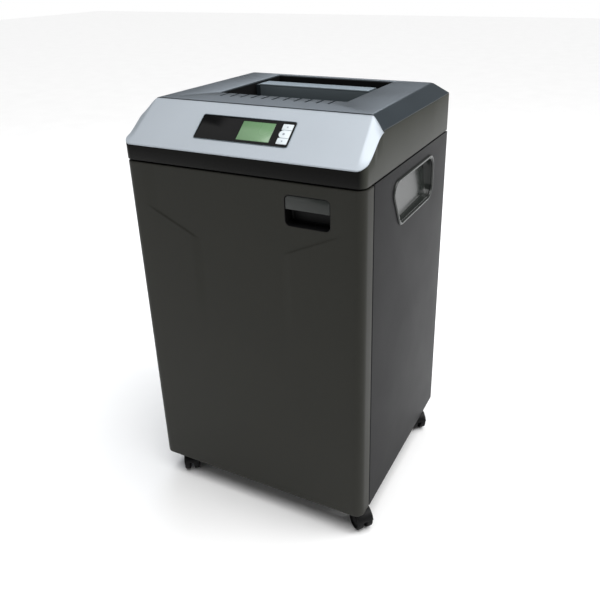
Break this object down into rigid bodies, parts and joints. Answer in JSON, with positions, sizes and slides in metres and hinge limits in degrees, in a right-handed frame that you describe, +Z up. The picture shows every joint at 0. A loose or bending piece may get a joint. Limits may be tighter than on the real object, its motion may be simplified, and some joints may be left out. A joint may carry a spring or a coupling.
{
  "type": "paper shredder",
  "caption": "Cabinet paper shredder on swivel casters with a hinged door, pull-out bin, top feed slot and sloping control panel.",
  "frame": {"origin": "on the floor, under the middle of the cabinet", "axes": "+Z up, -Y towards the door, +X to the right when facing the door"},
  "size_m": [0.4446, 0.393, 0.727],
  "materials": {
    "side_paint": "powder coat",
    "door_paint": "satin metallic paint",
    "olive_plastic": "satin",
    "charcoal_plastic": "satin metallic paint",
    "silver_plastic": "satin silver paint",
    "window_gloss": "gloss",
    "lcd_green": "gloss",
    "white_plastic": "satin",
    "grip_plastic": "satin",
    "black_plastic": "matte",
    "brushed_guide": "brushed",
    "zinc_steel": "zinc plate",
    "cutter_steel": "oiled steel",
    "board_green": "solder mask",
    "caster_rubber": "matte"
  },
  "bodies": {
    "cabinet": {"base_plate": "black_plastic", "left_side_panel": "side_paint", "right_side_panel": "side_paint", "rear_panel": "side_paint", "mechanism_deck": "zinc_steel", "catch_plate": "zinc_steel", "left_grip_cup": "grip_plastic", "right_grip_cup": "grip_plastic", "upper_hinge_bracket": "zinc_steel", "lower_hinge_bracket": "zinc_steel", "head_casing": "olive_plastic", "top_cover": "charcoal_plastic", "front_fascia": "silver_plastic", "display_window": "window_gloss", "lcd_panel": "lcd_green", "paper_guide": "brushed_guide", "paper_sensor": "black_plastic", "left_chassis_plate": "zinc_steel", "right_chassis_plate": "zinc_steel", "left_bearing_block": "black_plastic", "right_bearing_block": "black_plastic", "front_tie_bar": "zinc_steel", "rear_tie_bar": "zinc_steel", "front_stripper": "black_plastic", "rear_stripper": "black_plastic", "motor_can": "zinc_steel", "idler_pin": "zinc_steel", "control_board": "board_green", "power_board": "board_green", "power_inlet": "black_plastic", "mains_switch": "black_plastic"},
    "door": {"door_panel": "door_paint", "door_liner": "black_plastic", "latch_cup": "black_plastic", "upper_hinge_pin": "zinc_steel", "lower_hinge_pin": "zinc_steel"},
    "latch": {"latch_paddle": "grip_plastic"},
    "bin": {"waste_bin": "black_plastic"},
    "forward key": {"key_forward": "white_plastic"},
    "auto key": {"key_auto": "white_plastic"},
    "reverse key": {"key_reverse": "white_plastic"},
    "rocker": {"power_rocker": "black_plastic"},
    "front cutter": {"front_cutter_shaft": "cutter_steel", "front_timing_gear": "cutter_steel", "driven_gear": "cutter_steel"},
    "rear cutter": {"rear_cutter_shaft": "cutter_steel", "rear_timing_gear": "cutter_steel"},
    "idler": {"idler_gear": "cutter_steel"},
    "rotor": {"motor_shaft": "cutter_steel", "motor_fan": "black_plastic"},
    "front right fork": {"front_right_caster_fork": "black_plastic"},
    "front right wheel": {"front_right_caster_wheel": "caster_rubber"},
    "front left fork": {"front_left_caster_fork": "black_plastic"},
    "front left wheel": {"front_left_caster_wheel": "caster_rubber"},
    "rear right fork": {"rear_right_caster_fork": "black_plastic"},
    "rear right wheel": {"rear_right_caster_wheel": "caster_rubber"},
    "rear left fork": {"rear_left_caster_fork": "black_plastic"},
    "rear left wheel": {"rear_left_caster_wheel": "caster_rubber"}
  },
  "joints": [
    {"name": "door_hinge", "type": "hinge", "parent": "cabinet", "child": "door", "pos_m": [-0.205, -0.166, 0.34], "axis": [0, 0, -1], "range_deg": [0, 100]},
    {"name": "latch_pull", "type": "hinge", "parent": "door", "child": "latch", "pos_m": [0.12025, -0.1915, 0.6145], "axis": [-1, 0, 0], "range_deg": [0, 20], "stiffness_Nm_per_rad": 0.08},
    {"name": "bin_slide", "type": "slide", "parent": "cabinet", "child": "bin", "axis": [0, -1, 0], "range_m": [0, 0.155]},
    {"name": "power_rocker_tilt", "type": "hinge", "parent": "cabinet", "child": "rocker", "pos_m": [-0.09, 0.1905, 0.582], "axis": [1, 0, 0], "range_deg": [-7, 7]},
    {"name": "forward_key_press", "type": "slide", "parent": "cabinet", "child": "forward key", "axis": [0, 0.6325, -0.7746], "range_m": [0, 0.001], "stiffness_N_per_m": 400},
    {"name": "auto_key_press", "type": "slide", "parent": "cabinet", "child": "auto key", "axis": [0, 0.6325, -0.7746], "range_m": [0, 0.001], "stiffness_N_per_m": 400},
    {"name": "reverse_key_press", "type": "slide", "parent": "cabinet", "child": "reverse key", "axis": [0, 0.6325, -0.7746], "range_m": [0, 0.001], "stiffness_N_per_m": 400},
    {"name": "front_cutter_spin", "type": "hinge", "parent": "cabinet", "child": "front cutter", "pos_m": [0, 0.042, 0.616], "axis": [1, 0, 0], "continuous": true},
    {"name": "rear_cutter_spin", "type": "hinge", "parent": "cabinet", "child": "rear cutter", "pos_m": [0, 0.078, 0.616], "axis": [1, 0, 0], "continuous": true},
    {"name": "idler_spin", "type": "hinge", "parent": "cabinet", "child": "idler", "pos_m": [0, -0.01018, 0.62182], "axis": [1, 0, 0], "continuous": true},
    {"name": "rotor_spin", "type": "hinge", "parent": "cabinet", "child": "rotor", "pos_m": [0, -0.06, 0.601], "axis": [1, 0, 0], "continuous": true},
    {"name": "front_right_swivel", "type": "hinge", "parent": "cabinet", "child": "front right fork", "pos_m": [0.1816, -0.1525, 0.045], "axis": [0, 0, 1], "continuous": true},
    {"name": "front_right_roll", "type": "hinge", "parent": "front right fork", "child": "front right wheel", "pos_m": [0.19647, -0.16433, 0.02], "axis": [0.6225, 0.7826, 0], "continuous": true},
    {"name": "front_left_swivel", "type": "hinge", "parent": "cabinet", "child": "front left fork", "pos_m": [-0.1816, -0.1525, 0.045], "axis": [0, 0, 1], "continuous": true},
    {"name": "front_left_roll", "type": "hinge", "parent": "front left fork", "child": "front left wheel", "pos_m": [-0.17051, -0.16793, 0.02], "axis": [0.8121, 0.5835, 0], "continuous": true},
    {"name": "rear_right_swivel", "type": "hinge", "parent": "cabinet", "child": "rear right fork", "pos_m": [0.1816, 0.156, 0.045], "axis": [0, 0, 1], "continuous": true},
    {"name": "rear_right_roll", "type": "hinge", "parent": "rear right fork", "child": "rear right wheel", "pos_m": [0.19456, 0.1421, 0.02], "axis": [0.7314, 0.682, 0], "continuous": true},
    {"name": "rear_left_swivel", "type": "hinge", "parent": "cabinet", "child": "rear left fork", "pos_m": [-0.1816, 0.156, 0.045], "axis": [0, 0, 1], "continuous": true},
    {"name": "rear_left_roll", "type": "hinge", "parent": "rear left fork", "child": "rear left wheel", "pos_m": [-0.19647, 0.14417, 0.02], "axis": [0.6225, -0.7826, 0], "continuous": true}
  ],
  "couplings": [
    {"joint": "bin_slide", "follows": "door_hinge", "m_per_rad": 0.088},
    {"joint": "rear_cutter_spin", "follows": "front_cutter_spin", "ratio": -1},
    {"joint": "idler_spin", "follows": "front_cutter_spin", "ratio": -3.375},
    {"joint": "rotor_spin", "follows": "front_cutter_spin", "ratio": 16.875}
  ]
}
